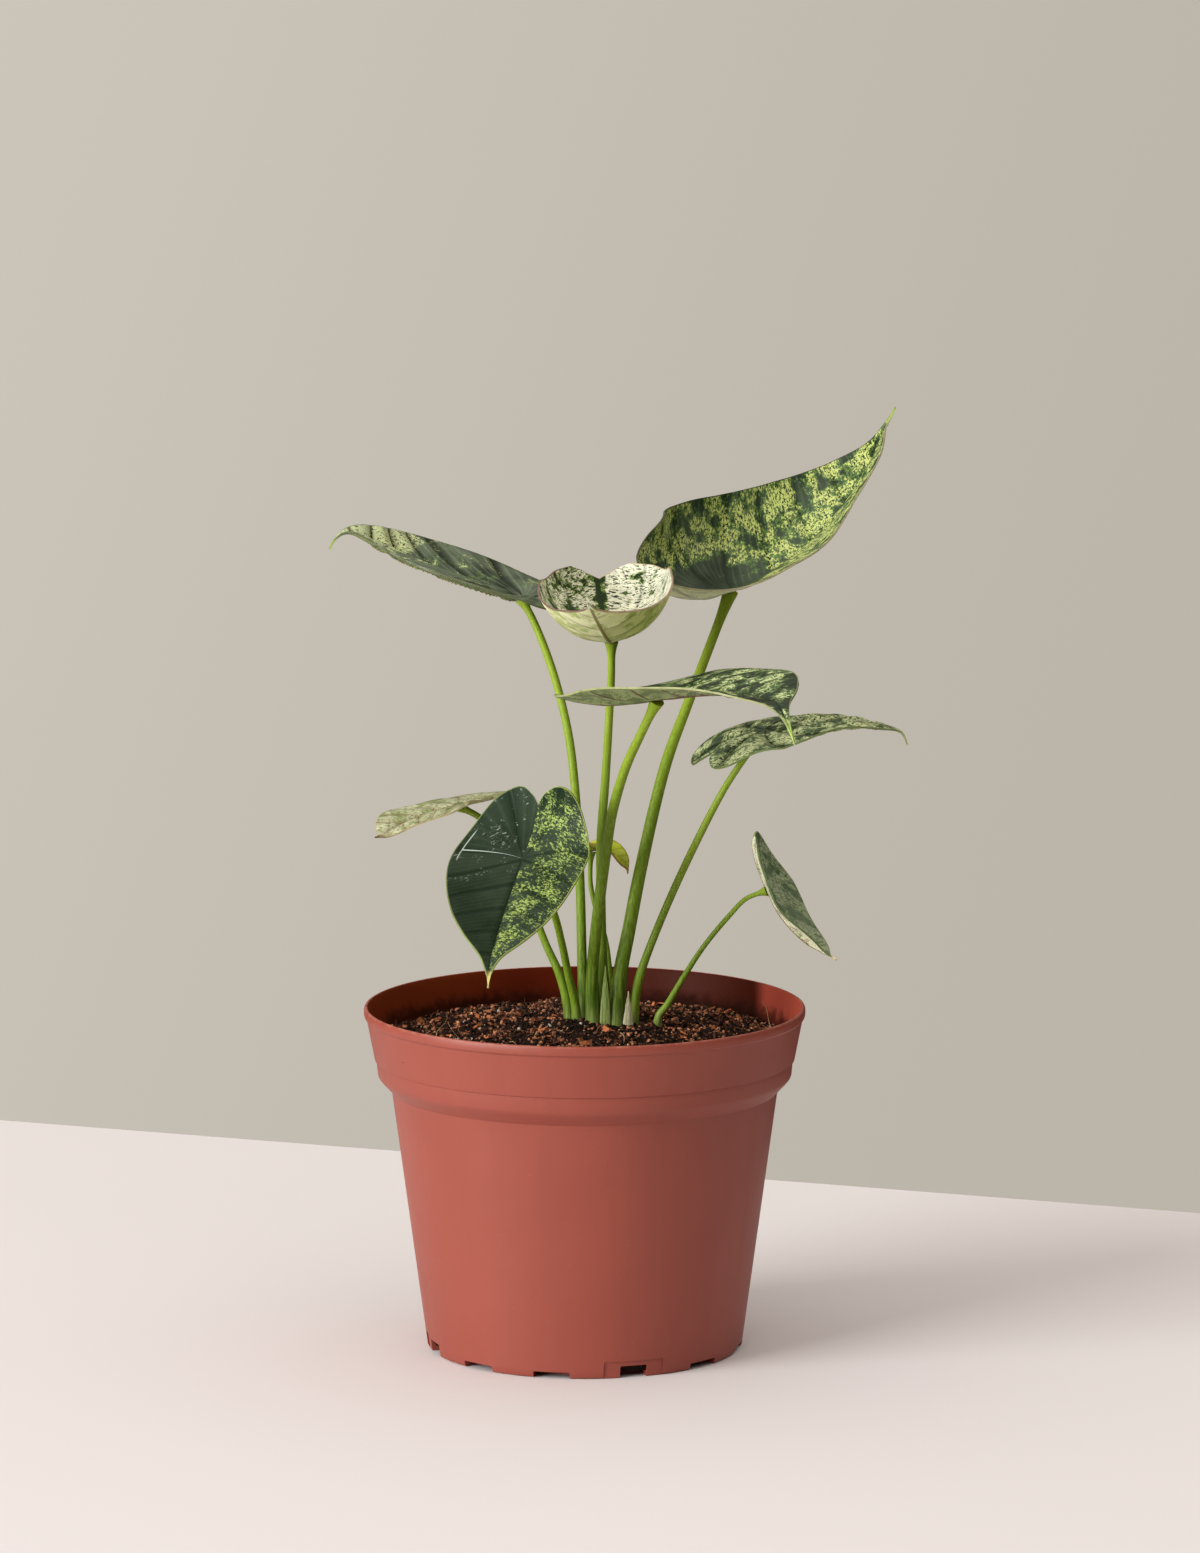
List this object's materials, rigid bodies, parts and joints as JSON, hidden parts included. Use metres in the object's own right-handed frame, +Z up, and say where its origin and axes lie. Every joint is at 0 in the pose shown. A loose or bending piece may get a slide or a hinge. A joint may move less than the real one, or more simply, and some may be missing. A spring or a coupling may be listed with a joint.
{
  "type": "potted aroid house plant",
  "caption": "Small aroid house plant with shield-shaped, mint-speckled leaves on round stalks, in a tapered plastic nursery pot filled with potting mix; stands on its base.",
  "frame": {"origin": "centre of the pot's base, on the surface that it stands on", "axes": "+Z up along the pot's axis; -Y is the side that the picture shows, +X to its right"},
  "size_m": [0.1974, 0.2267, 0.3118],
  "materials": {
    "pot_plastic": "terracotta-red moulded polypropylene, satin",
    "potting_mix": "dark peat and bark mix with fibre and perlite, matte",
    "leaf_stalk": "fleshy green stalk, satin",
    "leaf_blade": "dark green leaf with mint speckle, satin",
    "pale_blade": "cream and mint leaf, satin",
    "young_blade": "yellow-green young leaf, satin",
    "dry_bract": "dry papery bract, matte"
  },
  "bodies": {
    "root": {"pot": "pot_plastic", "potting_mix": "potting_mix", "stalk_tall_left": "leaf_stalk", "blade_tall_left": "leaf_blade", "stalk_tall_middle": "leaf_stalk", "blade_tall_middle": "pale_blade", "stalk_tall_right": "leaf_stalk", "blade_tall_right": "leaf_blade", "stalk_middle": "leaf_stalk", "blade_middle": "leaf_blade", "stalk_right": "leaf_stalk", "blade_right": "leaf_blade", "stalk_front_left": "leaf_stalk", "blade_front_left": "leaf_blade", "stalk_low_left": "leaf_stalk", "blade_low_left": "pale_blade", "stalk_low_right": "leaf_stalk", "blade_low_right": "leaf_blade", "stalk_young": "leaf_stalk", "blade_young": "young_blade", "bract_middle": "dry_bract", "bract_right": "dry_bract"}
  },
  "joints": []
}
